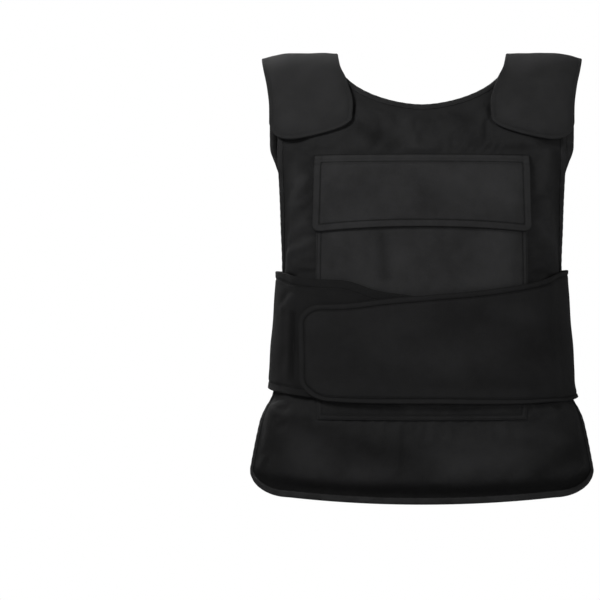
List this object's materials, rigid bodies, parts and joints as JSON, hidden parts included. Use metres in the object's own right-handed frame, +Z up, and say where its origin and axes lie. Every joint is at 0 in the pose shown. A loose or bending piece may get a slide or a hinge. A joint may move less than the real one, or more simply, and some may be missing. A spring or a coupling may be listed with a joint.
{
  "type": "stab vest",
  "caption": "Padded protective vest in its worn form: front and back panels, shoulder straps, chest pocket with a flap, and waist flaps that overlap in front.",
  "frame": {"origin": "midway between the wearer's shoulders, level with the underside of the straps where they cross the shoulders", "axes": "+X to the wearer's left, -Y the way the front faces, +Z up from hem to shoulders"},
  "size_m": [0.4992, 0.2759, 0.6516],
  "materials": {
    "shell": "black woven cover cloth, matt with a faint sheen",
    "flap": "black brushed cloth, dull",
    "tape": "black ribbed binding tape, slightly smooth"
  },
  "bodies": {
    "root": {"front_panel": "shell", "front_binding": "tape", "back_panel": "shell", "back_binding": "tape", "shoulder_strap_right": "shell", "shoulder_strap_left": "shell", "pocket_body": "shell", "pocket_flap": "shell", "waist_flap_under": "flap", "waist_flap_over": "flap"}
  },
  "joints": []
}
